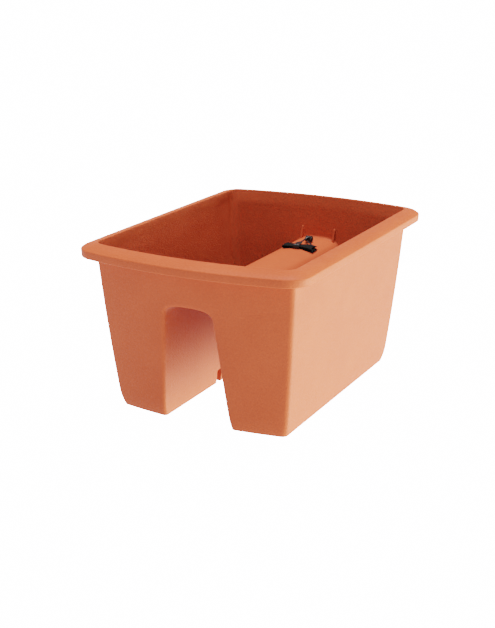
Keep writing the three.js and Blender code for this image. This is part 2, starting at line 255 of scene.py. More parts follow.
class Nodes:
    """A short way to write a node tree."""

    def __init__(self, tree: bpy.types.NodeTree) -> None:
        """Writes into a tree."""
        self.tree = tree

    def add(self, kind: str, inputs: dict[str, object] | None = None, **settings: object) -> bpy.types.Node:
        """Adds a node.

        Args:
            kind: The node's type, without its ShaderNode prefix.
            inputs: Values or sockets for the inputs, by name or by number.
            **settings: The node's own settings.

        Returns:
            The node.
        """
        node = self.tree.nodes.new("ShaderNode" + kind)
        for key, value in settings.items():
            setattr(node, key, value)
        for key, value in (inputs or {}).items():
            self.feed(node.inputs[key], value)
        return node

    def feed(self, socket: Socket, value: object) -> None:
        """Sets an input, or links it to another node's output.

        Args:
            socket: The input.
            value: What it is set to, or the output that feeds it.
        """
        if isinstance(value, Socket):
            self.tree.links.new(value, socket)
        else:
            socket.default_value = value

    def sum(self, operation: str, *values: float | Socket) -> Socket:
        """The result of one step of arithmetic on some values or outputs."""
        return self.add("Math", dict(enumerate(values)), operation=operation).outputs[0]

    def noise(self, where: Socket, scale: float, detail: float, rough: float = 0.5) -> Socket:
        """A noise pattern's value, with its scale in waves per metre."""
        settings = {"Vector": where, "Scale": scale, "Detail": detail, "Roughness": rough}
        return self.add("TexNoise", settings).outputs["Fac"]

    def spread(self, value: Socket, low: float, high: float, to: Flat = (0.0, 1.0)) -> Socket:
        """A value's range from low to high, stretched to another range."""
        inputs = {"Value": value, "From Min": low, "From Max": high, "To Min": to[0], "To Max": to[1]}
        return self.add("MapRange", inputs).outputs["Result"]

    def blend(self, share: Socket, a: Sequence[float], b: Sequence[float]) -> Socket:
        """A colour between two others.

        Args:
            share: How far it is from the first to the second.
            a: The first colour.
            b: The second colour.

        Returns:
            The colour.
        """
        node = self.add("Mix", data_type="RGBA")
        self.feed(node.inputs["Factor"], share)
        self.feed(node.inputs[6], a)
        self.feed(node.inputs[7], b)
        return node.outputs[2]


class Surface(Nodes):
    """The nodes of a material and the inputs of its surface."""

    def __init__(self, name: str) -> None:
        """Starts the material.

        Args:
            name: The material's name.
        """
        self.material = bpy.data.materials.new(name)
        self.material.use_nodes = True
        super().__init__(self.material.node_tree)
        self.inputs = self.tree.nodes["Principled BSDF"].inputs


@dataclass(frozen=True)
class MouldedPlastic:
    """Matte moulded plastic with a fine spark-eroded grain."""

    name: str
    colour: tuple[float, float, float]
    pale: tuple[float, float, float]
    roughness: Flat
    specular: float
    grain: float  # millimetres from one grain to the next
    relief: float  # depth of the grain, in millimetres

    def material(self) -> bpy.types.Material:
        """Builds the node material.

        Returns:
            The material.
        """
        nodes = Surface(self.name)
        where = nodes.add("TexCoord").outputs["Object"]
        grain = nodes.noise(where, 1000 / self.grain, 3.0, 0.62)
        pitted = {"Vector": where, "Scale": 1000 / self.grain * 0.8}
        pits = nodes.add("TexVoronoi", pitted).outputs["Distance"]
        flow = nodes.noise(where, 22.0, 3.0)
        mottle = nodes.noise(where, 420.0, 2.0)

        clouds, specks = (nodes.spread(v, 0.3, 0.7, (0.0, 0.5)) for v in (flow, mottle))
        tone = nodes.sum("ADD", clouds, specks)
        colour = nodes.blend(tone, (*self.colour, 1.0), (*self.pale, 1.0))
        nodes.feed(nodes.inputs["Base Color"], colour)
        nodes.feed(nodes.inputs["Roughness"], nodes.spread(grain, 0.3, 0.7, self.roughness))
        nodes.inputs["Specular IOR Level"].default_value = self.specular

        height = nodes.sum("ADD", grain, nodes.spread(pits, 0.0, 0.8, (0.0, 0.5)))
        bump = nodes.add("Bump", {"Height": height, "Distance": self.relief * MM, "Strength": 1.0})
        nodes.feed(nodes.inputs["Normal"], bump.outputs["Normal"])
        return nodes.material


@dataclass(frozen=True)
class NeedledFelt:
    """Black needled felt: short tangled fibres with a faint bloom."""

    name: str
    colour: tuple[float, float, float]
    fibre: tuple[float, float, float]
    gloss: float  # the surface's mean roughness
    shine: float  # how strongly it mirrors

    def material(self) -> bpy.types.Material:
        """Builds the node material.

        Returns:
            The material.
        """
        nodes = Surface(self.name)
        where = nodes.add("TexCoord").outputs["Object"]
        bend = nodes.add("TexNoise", {"Vector": where, "Scale": 300.0, "Detail": 2.0})
        offset = nodes.add("VectorMath", {0: bend.outputs["Color"], "Scale": 0.006}, operation="SCALE")
        bent = nodes.add("VectorMath", {0: where, 1: offset.outputs[0]}).outputs[0]
        strands = nodes.add(
            "TexWave",
            {"Vector": bent, "Scale": 260.0, "Distortion": 9.0, "Detail": 3.0, "Detail Scale": 2.5},
            wave_profile="TRI",
        ).outputs["Fac"]
        nap = nodes.noise(bent, 2600.0, 4.0, 0.7)
        share = nodes.sum("MULTIPLY", strands, nap)
        colour = nodes.blend(nodes.spread(share, 0.2, 0.7), (*self.colour, 1.0), (*self.fibre, 1.0))
        nodes.feed(nodes.inputs["Base Color"], colour)
        rough = nodes.spread(nap, 0.3, 0.7, (self.gloss - 0.08, self.gloss + 0.08))
        nodes.feed(nodes.inputs["Roughness"], rough)
        nodes.inputs["Specular IOR Level"].default_value = self.shine
        nodes.inputs["Sheen Weight"].default_value = 0.02
        nodes.inputs["Sheen Roughness"].default_value = 0.5
        bump = nodes.add("Bump", {"Height": share, "Distance": 0.25 * MM, "Strength": 0.8})
        nodes.feed(nodes.inputs["Normal"], bump.outputs["Normal"])
        return nodes.material


TERRACOTTA = MouldedPlastic(
    name="terracotta_plastic",
    colour=(0.445, 0.065, 0.023),
    pale=(0.52, 0.082, 0.031),
    roughness=(0.42, 0.54),
    specular=0.08,
    grain=1.5,
    relief=0.3,
)
DARK_PLASTIC = MouldedPlastic(
    name="dark_plastic",
    colour=(0.026, 0.025, 0.024),
    pale=(0.034, 0.033, 0.031),
    roughness=(0.45, 0.6),
    specular=0.25,
    grain=0.7,
    relief=0.04,
)
WICK_FELT = NeedledFelt(
    name="wick_felt",
    colour=(0.0016, 0.0017, 0.0016),
    fibre=(0.008, 0.0082, 0.0076),
    gloss=0.86,
    shine=0.08,
)
TIE_FELT = NeedledFelt(
    name="tie_felt",
    colour=(0.0016, 0.0016, 0.0018),
    fibre=(0.009, 0.0095, 0.01),
    gloss=0.42,
    shine=0.35,
)


# ---- the planter's shape -----------------------------------------------------


@dataclass(frozen=True)
class Outline:
    """A level section: an oblong whose sides bow out and whose corners are rounded."""

    half_width: float
    half_length: float
    end_bow: float
    side_bow: float
    radius: float

    def end_y(self, x: float) -> float:
        """How far the end reaches, at a place across."""
        return self.half_length - self.end_bow * (x / self.half_width) ** 2

    def side_x(self, y: float) -> float:
        """How far the side reaches, at a place along."""
        return self.half_width - self.side_bow * (y / self.half_length) ** 2

    def corner(self, steps: int) -> list[Flat]:
        """The points of the rounded corner, from the side to the end.

        Args:
            steps: Steps round the corner.

        Returns:
            The points.
        """
        top = self.end_y(self.half_width)
        across = self.side_x(top)
        start = (self.side_x(top - self.radius), top - self.radius)
        stop = (across - self.radius, self.end_y(across - self.radius))
        reach = 0.56 * min(abs(stop[0] - start[0]), abs(stop[1] - start[1]))
        rise = np.array((-2 * self.side_bow * start[1] / self.half_length**2, 1.0))
        back = np.array((-1.0, 2 * self.end_bow * stop[0] / self.half_width**2))
        first = np.array(start) + reach * rise / np.linalg.norm(rise)
        second = np.array(stop) - reach * back / np.linalg.norm(back)
        return bezier([start, tuple(first), tuple(second), stop], steps)

    def quarter(self, along: int, round_: int, across: int) -> list[Flat]:
        """A quarter of the outline, from the middle of the side to the middle of the end.

        Args:
            along: Steps on the side.
            round_: Steps round the corner.
            across: Steps on the end.

        Returns:
            The points.
        """
        corner = self.corner(round_)
        side = [(self.side_x(y), y) for y in np.linspace(0, corner[0][1], along + 1)[:-1]]
        end = [(x, self.end_y(x)) for x in np.linspace(corner[-1][0], 0, across + 1)[1:]]
        return [*side, *corner, *end]

    def toward(self, other: "Outline", share: float) -> "Outline":
        """The outline that lies at a share of the way to another."""
        values = [mix(getattr(self, k), getattr(other, k), share) for k in self.__dataclass_fields__]
        return Outline(*values)


@dataclass(frozen=True)
class Moulding:
    """The terracotta box: drafted walls, a broad rim and the rail channel. Sizes in millimetres."""

    length: float = 400.0
    width: float = 291.0
    height: float = 204.0
    wall: float = 2.6

    rim_side: float = 18.9
    rim_end: float = 20.1
    rim_drop: float = 5.8
    rim_crown: float = 1.8
    band: float = 9.7
    band_draft: float = 0.4
    rim_end_bow: float = 18.7
    rim_side_bow: float = 0.7
    rim_radius: Flat = (22.0, 9.5)

    top_half: Flat = (128.3, 179.0)
    base_half: Flat = (111.2, 157.5)
    end_bow: Flat = (11.1, 15.8)
    side_bow: Flat = (0.0, 0.6)
    belly: float = 1.1
    outer_radius: float = 5.5
    inner_radius: float = 10.0
    curl: float = 2.7
    curl_height: float = 25.0
    lean: float = 1.3  # how far the inner face leans out at its top
    lean_start: float = 130.0

    channel_base: float = 43.2
    channel_top: float = 30.8
    spring: float = 132.0
    shoulder: float = 142.2
    shoulder_width: float = 24.0
    crown: float = 145.0
    crown_flat: float = 6.0
    roof_wall: float = 3.6

    notch_round: float = 4.2  # rounding where the channel leaves the end walls
    ridge_round: float = 2.2  # hollow rounding where the ridge meets the end walls
    foot_round: float = 0.8
    floor_round: float = 2.4

    lug_offset: float = 23.5
    lug_height: float = 17.0
    lug_reach: float = 4.4
    lug_thickness: float = 2.4
    pocket_width: float = 10.4
    pocket_height: float = 18.0
    pocket_depth: float = 8.2
    pocket_offset: float = 28.3

    side_steps: int = 26
    corner_steps: int = 9
    arch_steps: int = 34
    arch_corner: int = 9  # the step of the arch that faces the wall's upper corner

    @property
    def band_top(self) -> float:
        """Height of the band's upper edge."""
        return self.height - self.rim_drop

    @property
    def band_bottom(self) -> float:
        """Height of the band's lower edge."""
        return self.band_top - self.band

    def wall_outline(self, z: float, inset: float, radius: float) -> Outline:
        """The walls' outline at a height.

        Args:
            z: The height.
            inset: How far inside the outer face it lies.
            radius: Radius of its corners.

        Returns:
            The outline.
        """
        t = z / self.band_bottom
        swell = 4 * self.belly * t * (1 - t)
        curl = self.curl * max(0.0, 1 - z / self.curl_height) ** 2.5
        out = swell - curl - inset
        return Outline(
            mix(self.base_half[0], self.top_half[0], t) + out,
            mix(self.base_half[1], self.top_half[1], t) + out,
            mix(*self.end_bow, t),
            mix(*self.side_bow, t),
            radius,
        )

    def ease(self, z: float) -> float:
        """How far the inner face leans out near its top, so that it runs smoothly into the rim."""
        return self.lean * smooth((z - self.lean_start) / (self.band_bottom - self.lean_start))

    def rim_outline(self, share: float, inset: float = 0.0) -> Outline:
        """The rim's outline at a share of its width.

        Args:
            share: From 0 at the band to 1 at the rim's inner edge.
            inset: How far inside that line it lies.

        Returns:
            The outline.
        """
        half = self.width / 2 - share * self.rim_side - inset
        return Outline(
            half,
            self.length / 2 - share * self.rim_end - inset,
            self.rim_end_bow * (half / (self.width / 2)) ** 2,
            self.rim_side_bow,
            mix(*self.rim_radius, share),
        )

    def rim_top(self, share: float) -> float:
        """Height of the rim's top at a share of its width."""
        crown = 4 * self.rim_crown * share * (1 - share) * (1 - share / 2)
        return mix(self.band_top, self.height, share) + crown

    def channel_half(self, z: float) -> float:
        """Half the channel's width at a height."""
        return mix(self.channel_base, self.channel_top, z / self.spring)

    def channel_arch(self, side: float, roof: float) -> list[Flat]:
        """The channel's roof, from its spring to its crown.

        Args:
            side: How much wider than the channel it is, on each side.
            roof: How much higher than the channel it is.

        Returns:
            The points across and up.
        """
        shoulder = self.shoulder + 0.8 * roof
        crown = self.crown + roof
        half = lambda z: self.channel_half(z) + side
        turn = bezier(
            [
                (half(self.spring), self.spring),
                (half(self.spring + 5), self.spring + 5),
                (self.shoulder_width + 4, shoulder - 1.4),
                (self.shoulder_width, shoulder),
            ],
            48,
        )
        start, stop = (self.shoulder_width, shoulder), (self.crown_flat, crown)
        rise = bezier([start, (self.shoulder_width - 8, crown), stop], 48)
        path = np.array([*turn, *rise[1:], (0.0, crown)])
        run = np.concatenate([[0], np.cumsum(np.linalg.norm(np.diff(path, axis=0), axis=1))])
        at = np.linspace(0, run[-1], self.arch_steps + 1)
        xs, zs = (np.interp(at, run, path[:, k]) for k in (0, 1))
        return [(float(x), float(z)) for x, z in zip(xs, zs)]

    def heights(self, floor: float, rounding: float) -> list[float]:
        """The heights of the leg's rows, close together at the foot.

        Args:
            floor: Height of the leg's floor.
            rounding: Rounding between the floor and the walls.

        Returns:
            The heights, up to the spring of the channel's roof.
        """
        foot = [floor + rounding * (1 - math.cos(math.radians(a))) for a in (0, 18, 36, 54, 72, 90)]
        curl = [6.5, 9.5, 13, 17, 21, 25]
        leg = [30, 36, 43, 51, 60, 70, 80, 90, 100, 109, 117, 123, 128]
        return [*foot, *curl, *leg, self.spring]

    def foot_inset(self, z: float, floor: float, rounding: float) -> float:
        """How far the walls pull in to round the edge at the foot."""
        rise = rounding - min(rounding, z - floor)
        return rounding - math.sqrt(max(0.0, rounding**2 - rise**2))

    def shell(
        self,
        skin: Skin,
        inset: float,
        radius: float,
        floor: float,
        foot: float,
        side: float,
        roof: float,
        edge: float,
    ) -> None:
        """Adds a quarter of one skin of the walls, the channel and the leg's floor.

        Args:
            skin: Where the faces go.
            inset: How far inside the outer face of the walls it lies.
            radius: Radius of its upright corners.
            floor: Height of its level floor.
            foot: Rounding between the floor and the walls.
            side: How much wider than the channel its ridge is, on each side.
            roof: How much higher than the channel its ridge is.
            edge: Rounding between the end wall and the channel.
        """
        lean = self.ease if inset else lambda z: 0.0
        at = lambda z: self.wall_outline(z, inset + self.foot_inset(z, floor, foot) - lean(z), radius)
        legs = self.heights(floor, foot)
        grow = lambda z: side + self.foot_inset(z, floor, foot)
        profile = [(self.channel_half(z) + grow(z), z) for z in legs] + self.channel_arch(side, roof)[1:]

        normals = []
        for j, (x, z) in enumerate(profile):
            before, after = profile[max(0, j - 1)], profile[min(len(profile) - 1, j + 1)]
            true = np.array((after[1] - before[1], before[0] - after[0]))
            true /= np.linalg.norm(true)
            share = smooth((z - 95) / (self.spring - 95))
            normal = (1 - share) * np.array((1.0, 0.0)) + share * true
            normals.append(normal / np.linalg.norm(normal))
        normals[-1] = np.array((0.0, 1.0))

        # The rows of the corner line, then along the top of the end wall.
        steps = range(1, self.arch_corner + 1)
        corner_rows = [*legs, *(mix(self.spring, self.band_bottom, k / self.arch_corner) for k in steps)]
        goals = [(at(z).corner(1)[-1][0], z) for z in corner_rows]
        across = self.arch_steps - self.arch_corner
        goals += [(goals[-1][0] * (1 - k / across), self.band_bottom) for k in range(1, across + 1)]

        end_rows, round_rows, channel_rows = [], [], []
        spread = [smooth(k / 10) * 0.35 + (k / 10) * 0.65 for k in range(11)]
        for (x, z), normal, goal in zip(profile, normals, goals):
            start = np.array((x, z)) + normal * edge
            row = []
            for share in spread:
                px, pz = start + (np.array(goal) - start) * share
                row.append((px, at(pz).end_y(px), pz))
            end_rows.append(row)
            face_y = row[0][1]
            turn = []
            for c, s in turns(0, 15, 30, 45, 60, 75, 90):
                px, pz = start - normal * edge * s
                turn.append((px, face_y - edge + edge * c, pz))
            round_rows.append(turn)
            channel_rows.append([(turn[-1][0], turn[-1][1] * (1 - k / 14), turn[-1][2]) for k in range(15)])
        skin.grid(end_rows)
        skin.grid(round_rows)
        skin.grid(channel_rows)

        counts = (self.side_steps, self.corner_steps, 1)
        side_rows = [[(x, y, z) for x, y in at(z).quarter(*counts)[:-1]] for z in corner_rows]
        skin.grid(side_rows)
        inward = [*reversed(end_rows[0][:-1]), *round_rows[0][1:], *channel_rows[0][1:]]
        skin.face([*side_rows[0], *inward], flat=True)

    def rim_rings(self) -> list[tuple[Outline, float]]:
        """The rim's section, from the outer wall round to the inner wall.

        Returns:
            The outline and the height of each ring.
        """
        wall, top, low = self.wall, self.band_top, self.band_bottom
        # The wall's outer face, up behind the band, and the hollow under the rim.
        outer, inside = self.wall_outline(low, 0, self.outer_radius), self.rim_outline(1, -wall)
        rings = [(outer, low)]
        rings += [(outer.toward(inside, s), mix(low, self.height - 1.5, s)) for s in (0.25, 0.5, 0.68)]
        rings.append((self.rim_outline(0.8), self.rim_top(0.78) - wall - 0.5))
        rings.append((self.rim_outline(0.74), self.rim_top(0.74) - wall))
        rings += [(self.rim_outline(s), self.rim_top(s) - wall) for s in (0.6, 0.45, 0.3, 0.2)]
        rings.append((self.rim_outline(0.0, wall + 1.1), top - wall + 0.1))
        rings.append((self.rim_outline(0.0, wall + 0.3), top - wall - 0.9))
        rings.append((self.rim_outline(0.0, wall + 0.1), top - wall - 2.0))
        # The lower edge of the band is rounded over its whole thickness.
        half = wall / 2
        for c, s in turns(0, 30, 60, 90, 120, 150, 180):
            rings.append((self.rim_outline(0.0, self.band_draft + half + half * c), low + half * (1 - s)))
        # The band's face, its rounded upper edge and the crowned slope.
        rings.append((self.rim_outline(0.0, self.band_draft / 2), mix(low, top, 0.5)))
        soft = 1.7
        for c, s in turns(0, 22, 44, 66, 80):
            rings.append((self.rim_outline(0.0, soft * (1 - c)), top - 1.2 + soft * s))
        shares = [0.16, 0.22, 0.3, 0.4, 0.5, 0.6, 0.7, 0.8, 0.88]
        rings += [(self.rim_outline(s), self.rim_top(s)) for s in shares]
        # The inner edge turns down into the inner wall.
        lip = 1.2
        for c, s in turns(8, 30, 52, 74, 90):
            rings.append((self.rim_outline(1.0, -lip * (1 - s)), self.height - lip * (1 - c) - 0.02))
        inner = self.wall_outline(low, wall - self.ease(low), self.inner_radius)
        edge = self.rim_outline(1.0)
        shares = (0.2, 0.4, 0.6, 0.8)
        rings += [(edge.toward(inner, s), mix(self.height - lip, low, s)) for s in shares]
        rings.append((inner, low))
        return rings

    def rim(self, skin: Skin) -> None:
        """Adds a quarter of the rim.

        Args:
            skin: Where the faces go.
        """
        across = self.arch_steps - self.arch_corner
        rows = [
            [(x, y, z) for x, y in outline.quarter(self.side_steps, self.corner_steps, across)]
            for outline, z in self.rim_rings()
        ]
        skin.grid(rows)

    def pockets(self, grown: float) -> bpy.types.Mesh:
        """The four strap pockets as blocks.

        Args:
            grown: How much larger they are on each side, which is 0 for the pockets themselves.

        Returns:
            The blocks' mesh.
        """
        skin = Skin()
        half, top = self.pocket_width / 2 + grown, self.pocket_height + grown
        foot = -3.0 if grown == 0 else self.wall / 2
        face = [(-half, foot), (half, foot), (half, top - 3)]
        face += bezier([(half, top - 3), (half, top), (half - 3, top)], 5)[1:]
        face += bezier([(3 - half, top), (-half, top), (-half, top - 3)], 5)
        inner, outer = self.channel_half(top) - 4, self.channel_half(0) + self.pocket_depth + grown
        if grown:
            inner = self.channel_half(0) + 0.6
        for y in (-self.pocket_offset, self.pocket_offset):
            near = [(inner, y + w, z) for w, z in face]
            far = [(outer, y + w, z) for w, z in face]
            for k in range(len(face)):
                n = (k + 1) % len(face)
                skin.face((near[k], near[n], far[n], far[k]), flat=True)
            skin.face(reversed(near), flat=True)
            skin.face(far, flat=True)
        skin.mirrored(0)
        return skin.mesh("pockets")

    def lug(self, skin: Skin, x: float) -> None:
        """Adds one rear stacking lug: a thin gusset with rounded edges, set into the end wall.

        Args:
            skin: Where the faces go.
            x: Its place across the planter.
        """
        foot, base, tip = self.crown - 1.4, self.crown + 1, self.crown + self.lug_height
        half, soft = self.lug_thickness / 2, 0.5
        wall_y = lambda z: self.wall_outline(z, self.wall, self.inner_radius).end_y(abs(x))
        low_y, high_y = wall_y(base) - self.lug_reach, wall_y(tip) - 1.6
        edge = [(low_y, foot), (low_y, base)]
        edge += [(mix(low_y, high_y, k / 6), mix(base, tip - 1.2, k / 6)) for k in range(1, 7)]
        edge += [(wall_y(tip) - 1.3, tip - 0.5), (wall_y(tip) - 0.7, tip), (wall_y(tip) + 0.4, tip)]
        root = [(wall_y(z) + 1.3, z) for _, z in edge]
        rings = []
        for (y, z), (ry, rz) in zip(edge, root):
            flare = 0.9 * max(0.0, 1 - (z - self.crown - self.roof_wall + 2) / 5) if z > base else 0.9
            w = half + 0.25 * flare
            left = [(-w, ry, rz), (-w, y + soft, z), (-w + soft * 0.3, y + soft * 0.3, z), (-w + soft, y, z)]
            right = [(-across, py, pz) for across, py, pz in reversed(left)]
            rings.append([(x + across, py, pz) for across, py, pz in (*left, *right)])
        skin.tube(rings)

    def build(self) -> None:
        """Builds and dresses the moulding."""
        skin = Skin()
        self.shell(
            skin,
            inset=0.0,
            radius=self.outer_radius,
            floor=0.0,
            foot=self.foot_round,
            side=0.0,
            roof=0.0,
            edge=self.notch_round,
        )
        self.shell(
            skin,
            inset=self.wall,
            radius=self.inner_radius,
            floor=self.wall,
            foot=self.floor_round,
            side=self.wall,
            roof=self.roof_wall,
            edge=self.ridge_round,
        )
        self.rim(skin)
        skin.mirrored(0)
        skin.mirrored(1)
        obj = placed("planter_shell", skin.mesh("planter_shell"), TERRACOTTA.material())
        combined(obj, self.pockets(self.wall), "UNION")
        combined(obj, self.pockets(0.0), "DIFFERENCE")
        obj.data.set_sharp_from_angle(angle=math.radians(40))
        obj.data.name = "planter_shell"

        lugs = Skin()
        for x in (-self.lug_offset, self.lug_offset):
            self.lug(lugs, x)
        lugs.mirrored(1)
        lug_obj = placed("stacking_lugs", lugs.mesh("stacking_lugs"), obj.data.materials[0])
        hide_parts("planter_body")
        for piece in (obj, lug_obj):
            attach(piece, "planter")
            log.info("%s: %d faces", piece.name, len(piece.data.polygons))


# ---- what stands and lies in the planter ---------------------------------------


def ribbon(
    skin: Skin,
    path: Sequence[np.ndarray],
    across: np.ndarray,
    widths: Sequence[float],
    thickness: float,
    pleat: Callable[[float, float], float] = lambda run, v: 0.0,
    fray: float = 0.0,
    notch: float = 0.0,
) -> float:
    """Adds a strip of cloth with rounded edges.

    Args:
        skin: Where the faces go.
        path: The strip's middle line, in millimetres.
        across: The direction of its width.
        widths: Its width at each point of the path.
        thickness: Its thickness.
        pleat: How far the cloth stands out at a share of its length and a place across from -0.5 to 0.5.
        fray: How uneven its cut ends are.
        notch: How far the corners of its ends reach past their middle.

    Returns:
        The strip's length.
    """
    line = np.array(path)
    tangents = np.gradient(line, axis=0)
    tangents /= np.linalg.norm(tangents, axis=1)[:, None]
    places = [0.5 * math.sin(math.pi / 2 * k / 7) for k in range(-7, 8)]
    rings = []
    last = len(line) - 1
    for i, (point, tangent) in enumerate(zip(line, tangents)):
        normal = np.cross(tangent, across)
        normal /= np.linalg.norm(normal)
        upper, lower = [], []
        for v in places:
            edge = math.sqrt(max(0.04, 1 - abs(2 * v) ** 10))
            nap = 0.06 * math.sin(37.0 * v + 1.7 * i) * math.sin(0.9 * i + 11.0 * v)
            middle = point + across * widths[i] * v + normal * pleat(i / last, v)
            if i in (0, last):
                out = fray * math.sin(61.0 * v) * math.sin(23.0 * v + i) + notch * abs(2 * v) ** 1.5
                middle = middle + tangent * (out if i else -out)
            upper.append(middle + normal * (thickness / 2 * edge + nap))
            lower.append(middle - normal * (thickness / 2 * edge - nap))
        rings.append([*upper, *reversed(lower)])
    skin.tube(rings)
    return float(np.linalg.norm(np.diff(line, axis=0), axis=1).sum())


@dataclass(frozen=True)
class FalseFloor:
    """A perforated plate on six feet that keeps the soil above the reservoir."""

    moulding: Moulding
    side: Side
    top: float = 52.0
    plate: float = 2.0
    clearance: float = 1.6
    outer_corner: float = 12.0
    inner_corner: float = 4.0
    foot_radius: float = 5.0
    foot_tip: float = 3.8
    foot_inset: float = 14.0
    drain_radius: float = 2.2
    drain_pitch: float = 36.0
    drain_spread: float = 24.0
    finger_radius: float = 9.0
    slot_offset: float = 68.0
    slot_half: Flat = (14.6, 2.0)
    edge_round: float = 0.45
    touch: float = 0.3  # gap to what it stands on, and under what lies on it

    @property
    def middle(self) -> float:
        """The middle of the trough, across the planter."""
        walls = self.moulding.wall_outline(self.top, self.moulding.wall, 0.0)
        return (self.moulding.channel_half(self.top) + self.moulding.wall + walls.half_width) / 2

    def edge(self) -> list[Flat]:
        """The plate's outline on the right side.

        Returns:
            The points, from the rear round the channel's side to the front.
        """
        z = self.top - self.plate
        gap = self.clearance
        walls = self.moulding.wall_outline(z, self.moulding.wall, 0.0)
        inner = self.moulding.channel_half(z) + self.moulding.wall + gap
        outer = walls.half_width - gap
        end = lambda x: walls.end_y(x) - gap
        small, big = self.inner_corner, self.outer_corner
        half = bezier([(outer, end(outer) - big), (outer, end(outer)), (outer - big, end(outer - big))], 9)
        half += [(x, end(x)) for x in np.linspace(outer - big, inner + small, 14)[1:-1]]
        turn = [(inner + small, end(inner + small)), (inner, end(inner)), (inner, end(inner) - small)]
        half += bezier(turn, 6)
        return [*half, *((x, -y) for x, y in reversed(half))]

    def prism(self, outline: Sequence[Flat], low: float, high: float) -> bpy.types.Mesh:
        """A block over a level outline.

        Args:
            outline: The outline.
            low: Height of its underside.
            high: Height of its top.

        Returns:
            The block's mesh.
        """
        skin = Skin()
        skin.tube([[(x, y, z) for x, y in outline] for z in (low, high)])
        return skin.mesh("block")

    def holes(self) -> list[bpy.types.Mesh]:
        """The cutters for the finger hole, the drain holes and the slots.

        Returns:
            One mesh for each hole.
        """
        low, high = self.top - self.plate - 1, self.top + 1

        def circle(x: float, y: float, radius: float, steps: int) -> list[Flat]:
            """A circle's points."""
            angles = (2 * math.pi * k / steps for k in range(steps))
            return [(x + radius * math.cos(a), y + radius * math.sin(a)) for a in angles]

        cutters = [circle(self.middle, 0.0, self.finger_radius, 40)]
        for row in (-3, -2, -1, 1, 2, 3):
            for side in (-1, 1):
                x, y = self.middle + side * self.drain_spread, row * self.drain_pitch
                cutters.append(circle(x, y, self.drain_radius, 20))
        half_x, half_y = self.slot_half
        for y in (-self.slot_offset, self.slot_offset):
            corners = [(-half_x, -half_y), (half_x, -half_y), (half_x, half_y), (-half_x, half_y)]
            cutters.append([(self.middle + a, y + b) for a, b in corners])
        return [self.prism(outline, low, high) for outline in cutters]

    def foot(self, skin: Skin, x: float, y: float) -> None:
        """Adds one foot: a tapered peg with a flared root and a rounded tip.

        Args:
            skin: Where the faces go.
            x: Its place across the planter.
            y: Its place along the planter.
        """
        under = self.top - self.plate
        low = self.moulding.wall + self.touch
        tip, root = self.foot_tip, self.foot_radius
        profile = [(0.01, low), (tip - 1.2, low), (tip - 0.4, low + 0.3), (tip, low + 1.2)]
        profile += [(root - 0.3, under - 3.5), (root, under - 2), (root + 0.6, under - 0.9)]
        profile += [(root + 1.8, under + 0.1), (0.01, under + 0.1)]
        angles = np.linspace(0, 2 * math.pi, 28, endpoint=False)
        skin.tube([[(x + r * math.cos(a), y + r * math.sin(a), z) for a in angles] for r, z in profile])

    def build(self) -> None:
        """Builds and dresses the false floor of its side."""
        name = f"reservoir_floor_{self.side.name.lower()}"
        dark = DARK_PLASTIC.material()
        plate = self.prism(self.edge(), self.top - self.plate, self.top)
        obj = placed("false_floor_" + self.side.name.lower(), plate, dark)
        for cutter in self.holes():
            combined(obj, cutter, "DIFFERENCE")
        bevel = obj.modifiers.new("edges", "BEVEL")
        bevel.width, bevel.segments = self.edge_round * MM, 2
        bevel.limit_method, bevel.angle_limit = "ANGLE", math.radians(40)
        graph = bpy.context.evaluated_depsgraph_get()
        mesh = bpy.data.meshes.new_from_object(obj.evaluated_get(graph))
        obj.modifiers.clear()

        skin = Skin()
        walls = self.moulding.wall_outline(0, self.moulding.wall, 0.0)
        inner = self.moulding.channel_half(0) + self.moulding.wall + self.foot_inset
        outer = walls.half_width - self.foot_inset
        end = walls.end_y(outer) - self.foot_inset
        for x in (inner, outer):
            for y in (-end, 0.0, end):
                self.foot(skin, x, y)
        bm = bmesh.new()
        bm.from_mesh(mesh)
        bm.from_mesh(skin.mesh("feet"))
        if self.side is Side.LEFT:
            bmesh.ops.scale(bm, vec=(-1, 1, 1), verts=bm.verts)
            bmesh.ops.reverse_faces(bm, faces=bm.faces)
        bm.to_mesh(mesh)
        bm.free()
        mesh.set_sharp_from_angle(angle=math.radians(35))
        mesh.polygons.foreach_set("use_smooth", [abs(p.normal.z) < 0.99 for p in mesh.polygons])
        obj.data = mesh
        obj.data.name = obj.name
        obj.data.materials.clear()
        obj.data.materials.append(dark)
        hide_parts(name)
        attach(obj, f"floor_{self.side.name.lower()}")
        log.info("%s: %d faces", obj.name, len(mesh.polygons))


